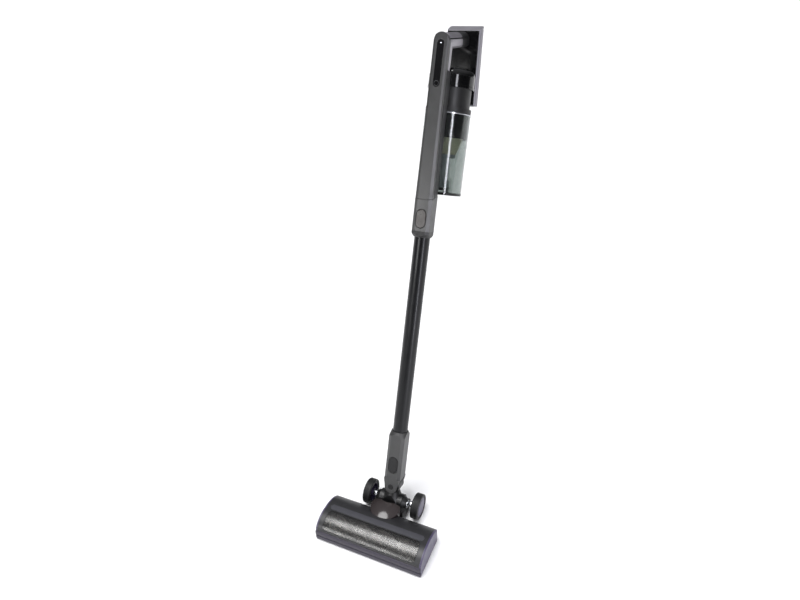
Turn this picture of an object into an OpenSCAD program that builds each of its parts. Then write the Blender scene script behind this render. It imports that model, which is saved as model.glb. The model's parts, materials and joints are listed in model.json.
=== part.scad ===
// Cordless stick vacuum: a floor head with a driven brush roll, a pitching and
// swivelling neck, a wand, and a hand unit with cyclone, bin, fan and battery.
// Millimetres, +Z up, X across the floor head, -Y is the front of the head.
// The stick is drawn in its own frame: z runs up the stick from the neck's
// pitch axis, -y is the stick's front face.

/* [Stance] */
// Lean of the stick back from upright, degrees
stick_tilt = 20; // [10:1:30]

/* [Floor head] */
// Width over the two end plates
head_w = 250; // [200:1:300]
// Depth from the front wall to the rear wall
head_d = 98; // [92:1:120]
// Radius of the brush roll over its bristle tips
brush_r = 24; // [20:0.5:29]
// Radius of the two rear wheels
wheel_r = 29; // [26:0.5:35]
// Width of a rear wheel
wheel_w = 17; // [14:0.5:21]

/* [Wand] */
// Outer radius of the wand tube
tube_r = 16.65; // [14:0.05:20]
// Bare length of the wand tube between its two connectors
wand_len = 434; // [350:1:525]

/* [Hand unit] */
// Length of the hand unit's column
body_len = 316; // [300:1:340]
// Outer radius of the dust bin
bin_r = 48; // [40:0.5:58]
// Length of the dust bin
bin_len = 161; // [140:1:175]
// Length of the display on the front face
display_len = 87; // [60:1:100]

/* [Battery] */
// Width of the battery pack
pack_w = 74.4; // [72:0.2:90]
// Length of the battery pack
pack_len = 160; // [146:1:180]
// Lean of the battery pack away from the stick at its lower end, degrees
pack_tilt = 8.7; // [6:0.1:10]

/* [Walls] */
// Wall thickness of the moulded shells
wall = 2.2; // [1.8:0.1:2.6]
// Gap between pieces that move past each other
gap = 0.3; // [0.25:0.05:0.4]

/* [Hidden] */
$fn = 64;
eps = 0.01;
fit = 0.05;

// floor head, side profile in y and z
front_y = 1.5;
sole_z = 3;
deck_z = 5.5;
head_h = 2 * brush_r + 5.5;
arc_z = 4.5;
arc_r = head_h - arc_z;
arc_y = 0.827 * arc_r;
rear_r = 70;
rear_y = arc_y + 11.5;
rear_z = head_h - 0.2 - rear_r;
end_x = head_w / 2;
shell_x = end_x - 4;
win_x = end_x - 15;
win_y = arc_y + 4;
win_z = arc_z + 0.56 * arc_r;
brush_y = brush_r + 6;
brush_z = brush_r + 0.4;
core_r = brush_r - 8;
bulk_x = end_x - 20;
bearing_r = 8;
spindle_r = 3;
belt_x = bulk_x + 8;
drive_y = max(head_d - 22, brush_y + brush_r + 15);
drive_z = 24;
roller_r = 5;
roller_x = end_x - 10.5;
roller_y = 14;

// neck
pivot_y = head_d + 38;
pivot_z = wheel_r + 7;
axle_y = pivot_y + 9;
wheel_x = 51;
drum_r = 19;
drum_x = 27;
cheek_x = 37;
cover_r = 70;
cover_x = 33.5;
cover_y = head_d + 1.5;
cover_z = head_h - 64.5;
swivel_w = 41;
knuckle_r = 14.5;
knuckle_y = 15;
hose_r = 9.5;
base_top = 24;

// stick sections, half width, front and rear
sec_x = tube_r + 2.35;
sec_f = tube_r + 4.35;
sec_b = tube_r + 2.35;
flat_x = tube_r - 4.65;
spigot_r = tube_r - 2.65;
button_w = 20.5;
button_h = 37;

// stations along the stick
low_w0 = 59;
low_w1 = 164;
low_w2 = low_w1 + 8;
low_button_w = 95;
wand_w0 = low_w2 - 40;
up_w0 = low_w2 + wand_len;
up_w1 = up_w0 + 13;
wand_w1 = up_w0 + 18;
up_button_w = up_w0 + 38.5;
body_w0 = up_w0 + 78;
seam_angle = 14;
col_x0 = sec_x;
col_x1 = sec_x - 3;
col_b = tube_r - 0.65;
col_top = body_w0 + body_len;
groove_y0 = -9;
groove_y1 = -7.5;

// bin, cyclone and fan, one axis behind the column
unit_y = col_b + 4.2 + bin_r;
bin_w0 = body_w0 + 16;
bin_w1 = bin_w0 + bin_len;
cyc_r = bin_r - 4.5;
cyc_w0 = bin_w1 + 10;
cyc_w1 = cyc_w0 + 38;
fan_w1 = cyc_w1 + 24;
cover_w1 = fan_w1 + 13;
unit_r = bin_r - 0.5;
lid_t = 5;
hinge_y = unit_y - bin_r + 6.5;
hinge_w = bin_w0 - lid_t / 2;

// battery pack and grip bar
pack_y = unit_y + unit_r + 12;
pack_z = col_top + 47;
pack_t = 22;
plate_t = 3;
bar_tilt = pack_tilt + 5.6;
bar_w = col_top - 10;
bar_h = 28.5;
bar_x = 15;
bar_y0 = 4;
bar_len = ((pack_y - bar_y0) * cos(pack_tilt) + (pack_z - bar_w) * sin(pack_tilt)
    - pack_t - plate_t - gap + fit) / cos(bar_tilt - pack_tilt);
bar_pale = 0.58 * bar_len;

// the origin is on the floor under the middle of the whole depth
bumper_y = -1.5;
back_y = pivot_y + pack_y * cos(stick_tilt) + pack_z * sin(stick_tilt);
mid_y = (bumper_y + back_y) / 2;

// ---- places and simple shapes -------------------------------------------

module in_head() {
    translate([0, -mid_y, 0]) children();
}

module in_stick() {
    translate([0, pivot_y - mid_y, pivot_z]) rotate([-stick_tilt, 0, 0]) children();
}

module in_pack() {
    in_stick() translate([0, pack_y, pack_z]) rotate([pack_tilt, 0, 0]) children();
}

module in_bar() {
    in_stick() translate([0, bar_y0, bar_w]) rotate([bar_tilt, 0, 0]) children();
}

module at_unit() {
    in_stick() translate([0, unit_y, 0]) children();
}

// a side outline in y and z, extruded across from x0 to x1
module across(x0, x1) {
    translate([x0, 0, 0]) rotate([90, 0, 90]) linear_extrude(x1 - x0) children();
}

// a front outline in x and z, extruded back from y0 to y1
module backwards(y0, y1) {
    translate([0, y1, 0]) rotate([90, 0, 0]) linear_extrude(y1 - y0) children();
}

module x_rod(r, x0, x1) {
    translate([x0, 0, 0]) rotate([0, 90, 0]) cylinder(r = r, h = x1 - x0);
}

module y_rod(r, y0, y1) {
    translate([0, y0, 0]) rotate([-90, 0, 0]) cylinder(r = r, h = y1 - y0);
}

module ring(r_out, r_in, z0, z1) {
    difference() {
        translate([0, 0, z0]) cylinder(r = r_out, h = z1 - z0);
        translate([0, 0, z0 - 1]) cylinder(r = r_in, h = z1 - z0 + 2);
    }
}

module both_sides() {
    children();
    mirror([1, 0, 0]) children();
}

module pill_2d(w, h) {
    square([w, h - w], center = true);
    translate([0, (h - w) / 2]) circle(d = w);
    translate([0, -(h - w) / 2]) circle(d = w);
}

module round_rect_2d(w, h, r) {
    square([w - 2 * r, h], center = true);
    square([w, h - 2 * r], center = true);
    for (x = [-1, 1], z = [-1, 1])
        translate([x * (w / 2 - r), z * (h / 2 - r)]) circle(r);
}

// flat wave spring round z: two rings joined by four crests, drawn pressed
module wave_spring(r, t) {
    for (z = [t, 3.4 * t]) translate([0, 0, z]) rotate_extrude() translate([r, 0]) circle(t);
    for (a = [0:90:270]) rotate([0, 0, a]) translate([r, 0, t])
        cylinder(r = 0.8 * t, h = 2.4 * t);
}

// ---- floor head -----------------------------------------------------------

// side outline of the head, inset by t: front arc, rear arc, flat front and rear
module head_profile(t, z0) {
    intersection() {
        union() {
            intersection() {
                translate([arc_y, arc_z]) circle(arc_r - t, $fn = 128);
                translate([-10, 0]) square([win_y + 10, 2 * head_h]);
            }
            intersection() {
                translate([rear_y, rear_z]) circle(rear_r - t, $fn = 128);
                translate([win_y - 1, 0]) square([head_d, 2 * head_h]);
            }
        }
        translate([front_y + t, z0])
            square([head_d - front_y - 2 * t, 2 * head_h]);
    }
}

module window_zone() {
    translate([-10, win_z]) square([win_y + 10, head_h]);
}

module head_shell() {
    color("#3b3b3f") in_head() difference() {
        union() {
            difference() {
                across(-shell_x, shell_x) head_profile(0, deck_z);
                across(-shell_x - 1, shell_x + 1) head_profile(wall, deck_z - 1);
            }
            both_sides() across(bulk_x, bulk_x + 4) intersection() {
                head_profile(wall - eps, deck_z);
                square([brush_y + brush_r + 6, head_h]);
            }
            across(-bulk_x, bulk_x) intersection() {
                head_profile(wall - eps, deck_z);
                translate([brush_y + brush_r + 4, 0]) square([2, head_h]);
            }
        }
        across(-win_x, win_x) intersection() {
            window_zone();
            difference() {
                translate([-20, -20]) square(200);
                translate([arc_y, arc_z]) circle(arc_r - wall - 0.1);
            }
        }
        both_sides() translate([0, brush_y, brush_z])
            x_rod(bearing_r, bulk_x - 1, bulk_x + 5);
        translate([0, brush_y + brush_r, drive_z]) y_rod(12, 0, 100);
    }
}

module sole_plate() {
    color("#242427") in_head() difference() {
        union() {
            across(-shell_x, shell_x)
                translate([front_y, sole_z]) square([head_d - front_y, deck_z - sole_z]);
            translate([-bulk_x + 8, drive_y - 11, deck_z - eps]) cube([40, 22, 8]);
            both_sides() for (x = [roller_x - 5.4, roller_x + 4])
                translate([x, roller_y - 4, deck_z - eps]) cube([1.4, 8, 4]);
        }
        translate([-bulk_x - 0.5, brush_y - brush_r + 1, 0])
            cube([2 * bulk_x + 1, 2 * brush_r - 2, 20]);
        translate([-bulk_x, drive_y, drive_z]) x_rod(12, 0, 60);
        both_sides() {
            translate([roller_x - 4, roller_y - 6.5, 0]) cube([8, 13, 20]);
            translate([0, roller_y, roller_r]) x_rod(1.5, roller_x - 5.5, roller_x + 5.5);
        }
        translate([-24, head_d - 14, -1]) cube([48, 20, deck_z + 0.5]);
    }
}

module brush_window() {
    color("#54524d", 0.55) in_head() across(-win_x + 0.2, win_x - 0.2) intersection() {
        difference() {
            head_profile(0, deck_z);
            translate([arc_y, arc_z]) circle(arc_r - wall + 0.2, $fn = 128);
        }
        translate([0, win_z + 0.2]) square([win_y - 0.2, head_h]);
    }
}

module end_plate(side) {
    color("#6a6675") in_head() mirror([side < 0 ? 1 : 0, 0, 0]) {
        across(shell_x, end_x - 1.5) head_profile(0, sole_z);
        across(end_x - 1.5 - eps, end_x - 0.5) head_profile(0.5, sole_z + 0.5);
        across(end_x - 0.5 - eps, end_x) head_profile(1.5, sole_z + 1.5);
    }
}

module end_plate_left() {
    end_plate(-1);
}

module end_plate_right() {
    end_plate(1);
}

module front_bumper() {
    top = win_z - 3;
    color("#45414d") in_head() across(-end_x + 0.5, end_x - 0.5) polygon([
        [front_y, sole_z], [bumper_y + 1, sole_z + 0.5], [bumper_y, sole_z + 3],
        [bumper_y, 14], [bumper_y + 1.2, 14.8], [bumper_y + 1.2, 16], [bumper_y, 16.8],
        [bumper_y, top - 5], [bumper_y + 1.2, top - 1], [front_y, top]]);
}

module brush_core() {
    color("#1b1b1d") in_head() translate([0, brush_y, brush_z]) {
        x_rod(core_r, -bulk_x + 2, bulk_x - 2);
        x_rod(spindle_r, -belt_x - 3, bulk_x + 6);
    }
}

// four helical rows of tufts standing in the core
module brush_bristles() {
    pitch = 9;
    half = floor((bulk_x - 8) / pitch);
    color("#8d8f94") in_head() translate([0, brush_y, brush_z])
        for (row = [0:3], i = [-half:half])
            translate([i * pitch, 0, 0]) rotate([90 * row + 150 * i / half, 0, 0])
                translate([0, 0, core_r - 1])
                    cylinder(r = 1.7, h = brush_r - core_r + 1, $fn = 16);
}

module brush_bearings() {
    color("#b8bcc2") in_head() both_sides() translate([0, brush_y, brush_z])
        difference() {
            x_rod(bearing_r, bulk_x, bulk_x + 4);
            x_rod(spindle_r + fit, bulk_x - 1, bulk_x + 5);
        }
}

module brush_pulley() {
    color("#2a2a2c") in_head() translate([0, brush_y, brush_z]) difference() {
        x_rod(9, -belt_x - 4, -belt_x + 3.5);
        x_rod(spindle_r, -belt_x - 5, -belt_x + 5);
    }
}

module belt_outline(extra) {
    hull() {
        translate([brush_y, brush_z]) circle(9 + extra, $fn = 32);
        translate([drive_y, drive_z]) circle(6 + extra, $fn = 32);
    }
}

module drive_belt() {
    color("#151515") in_head() across(-belt_x - 3, -belt_x + 3) difference() {
        belt_outline(1.7);
        belt_outline(gap);
    }
}

module brush_motor() {
    color("#a9abae") in_head() translate([0, drive_y, drive_z]) difference() {
        union() {
            x_rod(12, -bulk_x + 5, -bulk_x + 48);
            x_rod(5, -bulk_x + 3.5, -bulk_x + 5.1);
        }
        x_rod(1.5 + fit, -bulk_x, -bulk_x + 18);
    }
}

module motor_pulley() {
    color("#2a2a2c") in_head() translate([0, drive_y, drive_z]) {
        x_rod(6, -belt_x - 4, -belt_x + 3.5);
        x_rod(1.5, -belt_x, -bulk_x + 16);
    }
}

module roller(side) {
    color("#1a1a1a") in_head() translate([side * roller_x, roller_y, roller_r]) {
        x_rod(roller_r, -3.5, 3.5);
        x_rod(1.5 - fit, -5.4, 5.4);
    }
}

module roller_left() {
    roller(-1);
}

module roller_right() {
    roller(1);
}

// ---- neck -----------------------------------------------------------------

// low crown over the front of the neck, inset by t
module crown(t) {
    intersection() {
        translate([0, cover_y, cover_z]) sphere(cover_r - t);
        translate([0, cover_y, base_top + fit]) cylinder(r = cover_x - t, h = 100);
    }
}

module neck_yoke() {
    color("#161618") in_head() difference() {
        union() {
            translate([-cheek_x, head_d, 8]) cube([2 * cheek_x, 26, base_top - 8]);
            translate([-cheek_x, head_d, 8]) cube([2 * cheek_x, 46, 5]);
            both_sides() {
                translate([drum_x + 0.4, pivot_y, pivot_z]) rotate([0, 90, 0])
                    cylinder(r1 = 17, r2 = 12, h = cheek_x - drum_x - 0.4);
                translate([drum_x + 0.4, head_d + 10, 8])
                    cube([cheek_x - drum_x - 0.4, axle_y - head_d - 10, pivot_z - 8]);
                translate([0, axle_y, wheel_r]) x_rod(10, drum_x + 0.4, cheek_x);
            }
        }
        translate([0, pivot_y, pivot_z]) {
            x_rod(drum_r + 0.6, -drum_x - 0.4, drum_x + 0.4);
            x_rod(4, -60, 60);
        }
        translate([0, axle_y, wheel_r]) both_sides() x_rod(3.5, cheek_x - 8, 80);
        translate([0, head_d - 1, drive_z]) y_rod(hose_r + 3, 0, 30);
        translate([-14, head_d - 1, drive_z]) cube([28, 60, 20]);
        crown(-fit);
    }
}

module neck_cover() {
    color("#4a4343") in_head() difference() {
        crown(0);
        crown(wall);
        across(-60, 60) head_profile(-fit, 0);
        translate([-60, head_d + 14, 0]) cube([120, 80, 160]);
        translate([0, pivot_y - 2, 0]) cylinder(r = 27, h = 200);
    }
}

module pivot_pins() {
    color("#c3c6ca") in_head() both_sides() difference() {
        translate([0, pivot_y, pivot_z]) {
            x_rod(4, drum_x - 6, cheek_x + 1);
            x_rod(9, cheek_x + fit, cheek_x + 2);
        }
        translate([0, axle_y, wheel_r]) x_rod(3.5 + fit, cheek_x - 1, cheek_x + 3);
    }
}

module wheel_axles() {
    color("#b8bcc2") in_head() both_sides() translate([0, axle_y, wheel_r]) {
        x_rod(3.5, cheek_x - 8, wheel_x + wheel_w - 4);
        x_rod(7.5, cheek_x + 4, wheel_x - 0.6);
    }
}

module tyre(side) {
    color("#141414") in_head() mirror([side < 0 ? 1 : 0, 0, 0])
        translate([wheel_x, axle_y, wheel_r]) rotate([0, 90, 0]) rotate_extrude($fn = 96)
            difference() {
                union() {
                    translate([wheel_r - 7, 0]) square([5, wheel_w]);
                    translate([wheel_r - 7, 2]) square([7, wheel_w - 4]);
                    for (z = [2, wheel_w - 2]) translate([wheel_r - 2, z]) circle(2);
                }
                for (z = [5:3:wheel_w - 4]) translate([wheel_r - 0.6, z]) square([2, 0.9]);
            }
}

module tyre_left() {
    tyre(-1);
}

module tyre_right() {
    tyre(1);
}

module hub(side) {
    color("#5d5968") in_head() mirror([side < 0 ? 1 : 0, 0, 0])
        translate([wheel_x, axle_y, wheel_r]) difference() {
            union() {
                x_rod(wheel_r - 7, wheel_w - 4, wheel_w - 0.8);
                x_rod(wheel_r - 11, wheel_w - 1, wheel_w);
                x_rod(8, 0.5, wheel_w - 3);
                difference() {
                    x_rod(wheel_r - 7, 1.5, wheel_w - 3);
                    x_rod(wheel_r - 9, 0, wheel_w - 4);
                }
            }
            x_rod(3.5 + fit, -1, wheel_w - 3.5);
        }
}

module hub_left() {
    hub(-1);
}

module hub_right() {
    hub(1);
}

module neck_drum() {
    color("#121214") in_stick() difference() {
        union() {
            x_rod(drum_r, -drum_x, drum_x);
            intersection() {
                cylinder(r1 = drum_x, r2 = knuckle_y + 0.3, h = swivel_w - knuckle_r - 0.5);
                translate([-drum_x, -drum_r, 0]) cube([2 * drum_x, 2 * drum_r, 40]);
            }
            translate([0, 0, swivel_w]) y_rod(knuckle_r + 3, -knuckle_y, knuckle_y);
            translate([0, 0, swivel_w - knuckle_r - 1]) cylinder(r = knuckle_r, h = knuckle_r + 1);
        }
        x_rod(drum_r - 3.5, -drum_x + 5, drum_x - 5);
        x_rod(4 + fit, -drum_x - 1, drum_x + 1);
        translate([-13, -drum_r - 2, -drum_r - 2]) cube([26, drum_r + 6, drum_r + 2]);
        cylinder(r = hose_r + 1.5, h = 100);
        translate([0, 0, swivel_w]) y_rod(4 + fit, -30, 30);
    }
}

// ribbed hose from the head's duct up through the swivel, along a short route
module neck_hose() {
    route = [[-24, -20], [-17, -16], [-10, -11], [-4, -5], [0, 3], [0, 12], [0, 22],
        [0, 32], [0, 42], [0, 52], [0, 62]];
    sides = 12;
    function lean(i) = let (a = route[max(i - 1, 0)], b = route[min(i + 1, len(route) - 1)])
        atan2(b[1] - a[1], b[0] - a[0]);
    points = [for (i = [0:len(route) - 1], k = [0:sides - 1])
        let (r = hose_r - (i % 2) * 1.2, b = 360 * k / sides, c = lean(i))
        [r * cos(b), route[i][0] - r * sin(b) * sin(c), route[i][1] + r * sin(b) * cos(c)]];
    walls = [for (i = [0:len(route) - 2], k = [0:sides - 1])
        let (n = (k + 1) % sides)
        [i * sides + n, (i + 1) * sides + n, (i + 1) * sides + k, i * sides + k]];
    ends = [[for (k = [sides - 1:-1:0]) k],
        [for (k = [0:sides - 1]) (len(route) - 1) * sides + k]];
    color("#2b2b2e") in_stick()
        mirror([1, 0, 0]) polyhedron(points = points, faces = concat(walls, ends), convexity = 6);
}

module swivel_pins() {
    color("#2e2e31") in_stick() translate([0, 0, swivel_w]) {
        y_rod(4, -sec_f + 0.6, -11);
        difference() {
            y_rod(6.5, -sec_f + 0.2, -sec_f + 1.8);
            y_rod(3, -sec_f, -sec_f + 1.2);
        }
        y_rod(4, 11, sec_b - 0.5);
    }
}

// ---- connectors and wand ----------------------------------------------------

// eight-sided section of the connectors: flat front, wide bevels
module section_2d(rear) {
    polygon([[-flat_x, -sec_f], [flat_x, -sec_f], [sec_x, -sec_f + 5], [sec_x, rear - 6],
        [sec_x - 6, rear], [-sec_x + 6, rear], [-sec_x, rear - 6], [-sec_x, -sec_f + 5]]);
}

module fork_2d() {
    circle(knuckle_r);
    polygon([[-knuckle_r, 0], [knuckle_r, 0], [sec_x - 1, low_w0 - swivel_w - 2],
        [sec_x - 1, low_w0 - swivel_w + 2], [-sec_x + 1, low_w0 - swivel_w + 2],
        [-sec_x + 1, low_w0 - swivel_w - 2]]);
}

module button_pocket(w) {
    translate([0, 0, w]) backwards(-sec_f - 3, -sec_f + 5.1)
        pill_2d(button_w + 2 * gap, button_h + 2 * gap);
}

module release_button(w) {
    color("#2c2a2b") in_stick() translate([0, 0, w])
        backwards(-sec_f - 1, -sec_f + 2) pill_2d(button_w, button_h);
}

module release_spring(w) {
    color("#b9bcc0") in_stick() translate([0, -sec_f + 5.1, w]) rotate([90, 0, 0])
        wave_spring(5, 0.34);
}

module lower_connector() {
    color("#4a4a4d") in_stick() difference() {
        union() {
            intersection() {
                translate([0, 0, low_w0]) linear_extrude(low_w2 - low_w0) section_2d(sec_b);
                union() {
                    translate([-50, -50, 0]) cube([100, 100, low_w1 - 8]);
                    translate([0, 0, low_w1 - 8 - eps])
                        cylinder(r1 = sec_f + 7, r2 = tube_r + 1.9, h = 16 + eps);
                }
            }
            translate([0, 0, swivel_w]) {
                backwards(-sec_f, -knuckle_y - 0.4) fork_2d();
                backwards(knuckle_y + 0.4, sec_b) fork_2d();
            }
        }
        translate([0, 0, low_w0 - 1]) cylinder(r = spigot_r - 1, h = 200);
        translate([0, 0, wand_w0 - 1]) cylinder(r = tube_r + gap, h = 100);
        translate([0, 0, swivel_w]) {
            y_rod(4, -60, 60);
            y_rod(6.5, -sec_f - 1, -sec_f + 1.8);
        }
        button_pocket(low_button_w);
    }
}

module lower_button() {
    release_button(low_button_w);
}

module lower_spring() {
    release_spring(low_button_w);
}

module wand_tube() {
    color("#101114") in_stick() ring(tube_r, tube_r - 1.5, wand_w0, wand_w1);
}

module wire_duct() {
    color("#2c2c30") in_stick() translate([0, tube_r - 4.6, 0])
        ring(3, 2, wand_w0 + 1, wand_w1 - 1);
}

module upper_collar() {
    color("#141416") in_stick() difference() {
        intersection() {
            translate([0, 0, up_w0]) linear_extrude(up_w1 - up_w0) section_2d(sec_b);
            translate([0, 0, up_w0])
                cylinder(r1 = tube_r + 1.6, r2 = sec_f + 8, h = up_w1 - up_w0);
        }
        translate([0, 0, up_w0 - 1]) cylinder(r = tube_r, h = 60);
    }
}

// everything above the slanting seam between wand and hand unit
module above_seam(rise) {
    translate([0, -sec_f, body_w0 + rise]) rotate([seam_angle, 0, 0])
        translate([-50, -60, 0]) cube([100, 160, 600]);
}

module upper_connector() {
    color("#57575b") in_stick() difference() {
        translate([0, 0, up_w1]) linear_extrude(body_w0 - up_w1 + 14) section_2d(sec_b);
        above_seam(-0.6);
        translate([0, 0, up_w0]) cylinder(r = tube_r, h = wand_w1 - up_w0);
        translate([0, 0, up_w1]) cylinder(r = spigot_r + gap, h = 200);
        button_pocket(up_button_w);
    }
}

module upper_button() {
    release_button(up_button_w);
}

module upper_spring() {
    release_spring(up_button_w);
}

// ---- hand unit: column --------------------------------------------------------

// column outline from the front, inset by t: narrows upwards, round top
module column_front_2d(t) {
    round_w = col_top - col_x1;
    polygon([[-col_x0 + t, body_w0 - 20], [col_x0 - t, body_w0 - 20],
        [col_x1 - t, body_w0 + 180], [col_x1 - t, round_w],
        [-col_x1 + t, round_w], [-col_x1 + t, body_w0 + 180]]);
    translate([0, round_w]) circle(col_x1 - t);
}

// solid of the column, inset by t, between two depths
module column(t, y0, y1) {
    intersection() {
        translate([0, 0, body_w0 - 20]) linear_extrude(body_len + 40)
            polygon([[-flat_x, -sec_f + t], [flat_x, -sec_f + t],
                [sec_x, -sec_f + 5 + t], [sec_x, col_b - 5 - t], [sec_x - 5, col_b - t],
                [-sec_x + 5, col_b - t], [-sec_x, col_b - 5 - t], [-sec_x, -sec_f + 5 + t]]);
        backwards(y0, y1) column_front_2d(t);
        above_seam(t);
    }
}

module display_2d(extra) {
    translate([0, col_top - 13.5 - display_len / 2])
        pill_2d(14 + 2 * extra, display_len + 2 * extra);
}

// hole in the foot of the column shells for the inlet pipe
module inlet_hole() {
    translate([0, 0, body_w0 - 20]) cylinder(r = spigot_r + fit, h = 46.5);
}

module body_front() {
    color("#4b4b4e") in_stick() difference() {
        column(0, -60, groove_y0);
        column(wall, -60, 60);
        backwards(-60, 0) display_2d(0);
        inlet_hole();
    }
}

module body_seam() {
    color("#0d0d0e") in_stick() difference() {
        column(1, groove_y0, groove_y1);
        column(wall, -60, 60);
        inlet_hole();
    }
}

module body_rear() {
    color("#303033") in_stick() difference() {
        intersection() {
            column(0, groove_y1, 60);
            translate([-60, -60, 0]) cube([120, 120, fan_w1]);
        }
        intersection() {
            column(wall, -60, 60);
            translate([-60, -60, 0]) cube([120, 120, fan_w1 - wall]);
        }
        translate([-10.5, 0, cyc_w0 + 5]) cube([21, 60, 28]);
        inlet_hole();
    }
}

module inlet_pipe() {
    color("#1d1d1f") in_stick() difference() {
        union() {
            translate([0, 0, body_w0 - 34]) cylinder(r = spigot_r, h = 60);
            intersection() {
                column(wall, -60, 60);
                translate([-60, -60, 0]) cube([120, 120, body_w0 + 20]);
            }
        }
        translate([0, 0, body_w0 - 40]) cylinder(r = spigot_r - 1.8, h = 80);
    }
}

module air_duct() {
    duct_x = col_x1 - 4.5;
    top = cyc_w0 + 35;
    color("#3a3a3d") in_stick() difference() {
        translate([-duct_x, -6, body_w0 + 26])
            cube([2 * duct_x, col_b - wall + 6, top - body_w0 - 26]);
        translate([-duct_x + 1.4, -4.6, body_w0 + 20])
            cube([2 * duct_x - 2.8, col_b - wall + 3.2, top - body_w0 - 21.4]);
        translate([-9, 0, cyc_w0 + 5]) cube([18, 40, 28]);
    }
}

module display_lens() {
    color("#050506") in_stick() backwards(-sec_f + 0.3, -sec_f + wall) difference() {
        display_2d(-0.05);
        translate([0, col_top - 13.5 - display_len + 7]) circle(4 + gap);
    }
}

module power_button() {
    color("#0a0a0c") in_stick() translate([0, 0, col_top - 13.5 - display_len + 7]) {
        y_rod(4, -sec_f + 0.1, -sec_f + wall);
        y_rod(2, -sec_f + wall - eps, -sec_f + wall + 2);
    }
}

// ---- hand unit: grip ------------------------------------------------------------

module bar_2d(t) {
    r = bar_x - t;
    translate([0, bar_h / 2 - bar_x]) circle(r);
    translate([-r, -bar_h / 2 + 6]) square([2 * r, bar_h - bar_x - 6]);
    for (s = [-1, 1]) translate([s * (bar_x - 6), -bar_h / 2 + 6]) circle(6 - t);
    translate([-bar_x + 6, -bar_h / 2 + t]) square([2 * bar_x - 12, 8]);
}

// part of the bar behind the column
module behind_column() {
    in_stick() translate([-60, groove_y1 + fit, 0]) cube([120, 400, 2000]);
}

module grip_core() {
    color("#1c1c1f") difference() {
        union() {
            intersection() {
                in_bar() backwards(-30, bar_pale + 1) bar_2d(2.2);
                behind_column();
            }
            in_bar() backwards(bar_pale, bar_len + 6) bar_2d(0);
        }
        in_bar() backwards(-40, bar_len - 5) bar_2d(4.4);
        in_pack() translate([-80, -pack_t - plate_t - gap + fit, -400]) cube([160, 80, 500]);
    }
}

module grip_shell(z0, z1) {
    intersection() {
        difference() {
            in_bar() backwards(-30, bar_pale) bar_2d(0);
            in_bar() backwards(-40, bar_pale + 5) bar_2d(2.2);
        }
        in_bar() translate([-60, -60, z0]) cube([120, 300, z1 - z0]);
        behind_column();
    }
}

module grip_upper() {
    color("#77747c") grip_shell(4.2, 40);
}

module grip_lower() {
    color("#6d6a72") {
        grip_shell(-40, 1.8);
        difference() {
            in_stick() intersection() {
                column(0, groove_y1, bar_y0);
                translate([-60, -60, fan_w1 + fit]) cube([120, 120, bar_w - fan_w1]);
            }
            in_bar() backwards(-40, 60) bar_2d(0);
            in_stick() column(wall + 1, -60, bar_y0 - wall);
            in_bar() translate([-60, -60, 0]) cube(120);
        }
    }
}

// ---- hand unit: fan, cyclone and bin -----------------------------------------------

module fan_housing() {
    arm = pack_y - unit_y;
    color("#17181a") difference() {
        union() {
            at_unit() {
                translate([0, 0, cyc_w1]) cylinder(r = unit_r, h = fan_w1 - cyc_w1);
                translate([0, 0, cyc_w1]) cylinder(r = unit_r + 0.8, h = 5);
                translate([-14, -unit_y + col_b + fit, cyc_w1])
                    cube([28, 30, fan_w1 - cyc_w1]);
            }
            difference() {
                at_unit() translate([-22, unit_r - 12, cyc_w1 + 1])
                    cube([44, arm, fan_w1 - cyc_w1 - 1]);
                in_pack() translate([-80, -pack_t - plate_t - gap, -400])
                    cube([160, 80, 500]);
            }
        }
        at_unit() translate([0, 0, cyc_w1 + wall])
            cylinder(r = unit_r - wall, h = 60);
        at_unit() translate([0, 0, cyc_w1 - 1]) cylinder(r = 26, h = 20);
    }
}

module fan_cover() {
    slots = 24;
    color("#1d1e20") at_unit() difference() {
        translate([0, 0, fan_w1]) rotate_extrude($fn = 96) intersection() {
            difference() {
                union() {
                    square([unit_r - 10, cover_w1 - fan_w1]);
                    translate([unit_r - 13, 0]) circle(13);
                }
                square([unit_r - 13, cover_w1 - fan_w1 - wall]);
                translate([unit_r - 13, 0]) circle(13 - wall);
            }
            square([unit_r, cover_w1 - fan_w1]);
        }
        for (i = [0:slots - 1]) rotate([0, 0, 360 * i / slots])
            translate([22, -1, cover_w1 - 5]) cube([10, 2, 10]);
    }
}

module fan_motor() {
    color("#8f8a7c") at_unit() difference() {
        union() {
            translate([0, 0, cyc_w1 - 5]) cylinder(r = 23, h = 26);
            translate([0, 0, cyc_w1 + wall]) cylinder(r = 30, h = 3);
        }
        translate([0, 0, cyc_w1 - 10]) cylinder(r = 2.5 + fit, h = 24);
    }
}

module impeller() {
    blades = 9;
    base = cyc_w1 - 17;
    color("#c9ccd0") at_unit() {
        translate([0, 0, base + 8]) cylinder(r = 24, h = 1.6);
        translate([0, 0, base]) cylinder(r = 6, h = 10);
        translate([0, 0, base + 9]) cylinder(r = 2.5, h = 14);
        for (i = [0:blades - 1]) rotate([0, 0, 360 * i / blades])
            translate([5, -0.6, base + 1]) cube([18, 1.2, 7.5]);
    }
}

module exhaust_filter() {
    color("#d8d6cf") at_unit() ring(33, 16, fan_w1 + 3, cover_w1 - wall - 0.4);
}

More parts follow.
